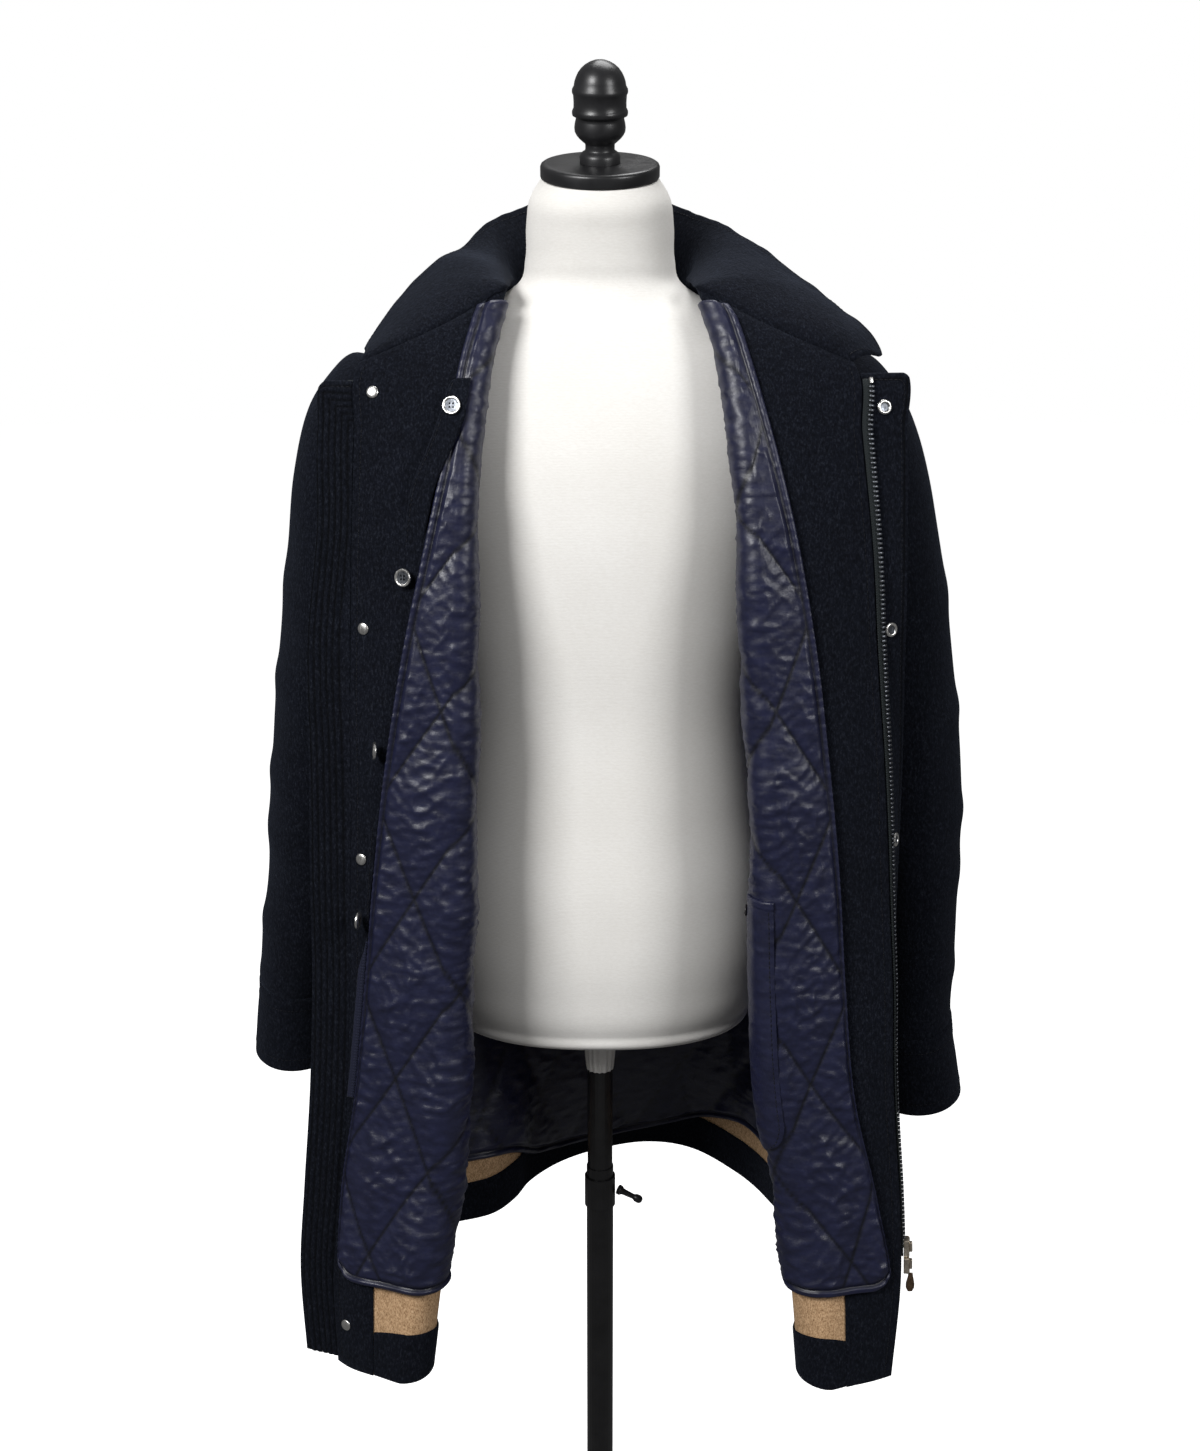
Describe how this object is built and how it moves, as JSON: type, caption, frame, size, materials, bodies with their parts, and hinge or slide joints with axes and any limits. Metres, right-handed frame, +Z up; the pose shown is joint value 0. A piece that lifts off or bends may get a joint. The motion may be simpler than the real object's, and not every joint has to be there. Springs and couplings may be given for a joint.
{
  "type": "quilted-lined overcoat on a limbless dress form with its stand",
  "caption": "Navy wool overcoat with a quilted liner, worn open with both fronts turned back, on a limbless dress form that stands on a height-adjustable pole.",
  "frame": {"origin": "centre of the stand base's flat underside, on the floor and on the pole's axis", "axes": "+Z up along the pole, -Y out of the coat's open front, +X to the wearer's left"},
  "size_m": [0.7023, 0.4417, 1.5825],
  "materials": {
    "navy_wool": "brushed wool cloth",
    "navy_nylon": "quilted nylon",
    "zip_tape": "woven tape",
    "silver": "polished",
    "champagne": "polished light plating",
    "bronze": "dark burnished",
    "form_cloth": "smooth stretch cover",
    "black_enamel": "satin black"
  },
  "bodies": {
    "stand": {"stand_base": "black_enamel", "stand_tube": "black_enamel", "clamp_collar": "black_enamel"},
    "lever": {"clamp_lever": "black_enamel"},
    "form_and_coat": {"back": "navy_wool", "button_strip_right": "navy_wool", "collar": "navy_wool", "cuff_left": "navy_wool", "cuff_right": "navy_wool", "facing_left": "navy_wool", "facing_right": "navy_wool", "finial": "black_enamel", "form_socket": "form_cloth", "form_torso": "form_cloth", "front_left": "navy_wool", "front_right": "navy_wool", "hem_facing_back": "navy_wool", "hem_facing_left": "navy_wool", "hem_facing_right": "navy_wool", "liner_back": "navy_nylon", "liner_left": "navy_nylon", "liner_pocket": "navy_nylon", "liner_right": "navy_nylon", "liner_zip_tape": "zip_tape", "neck_cap": "black_enamel", "pocket_button": "black_enamel", "sleeve_left": "navy_wool", "sleeve_right": "navy_wool", "slider_lower": "champagne", "slider_upper": "champagne", "snap_cap_1": "silver", "snap_cap_2": "silver", "snap_cap_3": "silver", "snap_cap_4": "silver", "snap_socket_1": "silver", "snap_socket_2": "silver", "snap_socket_3": "silver", "snap_socket_4": "silver", "storm_flap_left": "navy_wool", "strip_button_1": "silver", "strip_button_2": "silver", "strip_button_3": "silver", "strip_button_4": "silver", "upper_pole": "black_enamel", "wind_flap_right": "navy_wool", "zip_tape_left": "zip_tape", "zip_tape_right": "zip_tape"},
    "pull": {"pull_tab": "bronze"}
  },
  "joints": [
    {"name": "height_slide", "type": "slide", "parent": "stand", "child": "form_and_coat", "axis": [0, 0, 1], "range_m": [-0.1, 0.25]},
    {"name": "clamp_turn", "type": "hinge", "parent": "stand", "child": "lever", "pos_m": [0.0178, 0, 0.503], "axis": [1, 0, 0], "range_deg": [-180, 180]},
    {"name": "pull_swing", "type": "hinge", "parent": "form_and_coat", "child": "pull", "pos_m": [0.28334, -0.19332, 0.52598], "axis": [1, 0, 0], "range_deg": [-100, 0]}
  ]
}
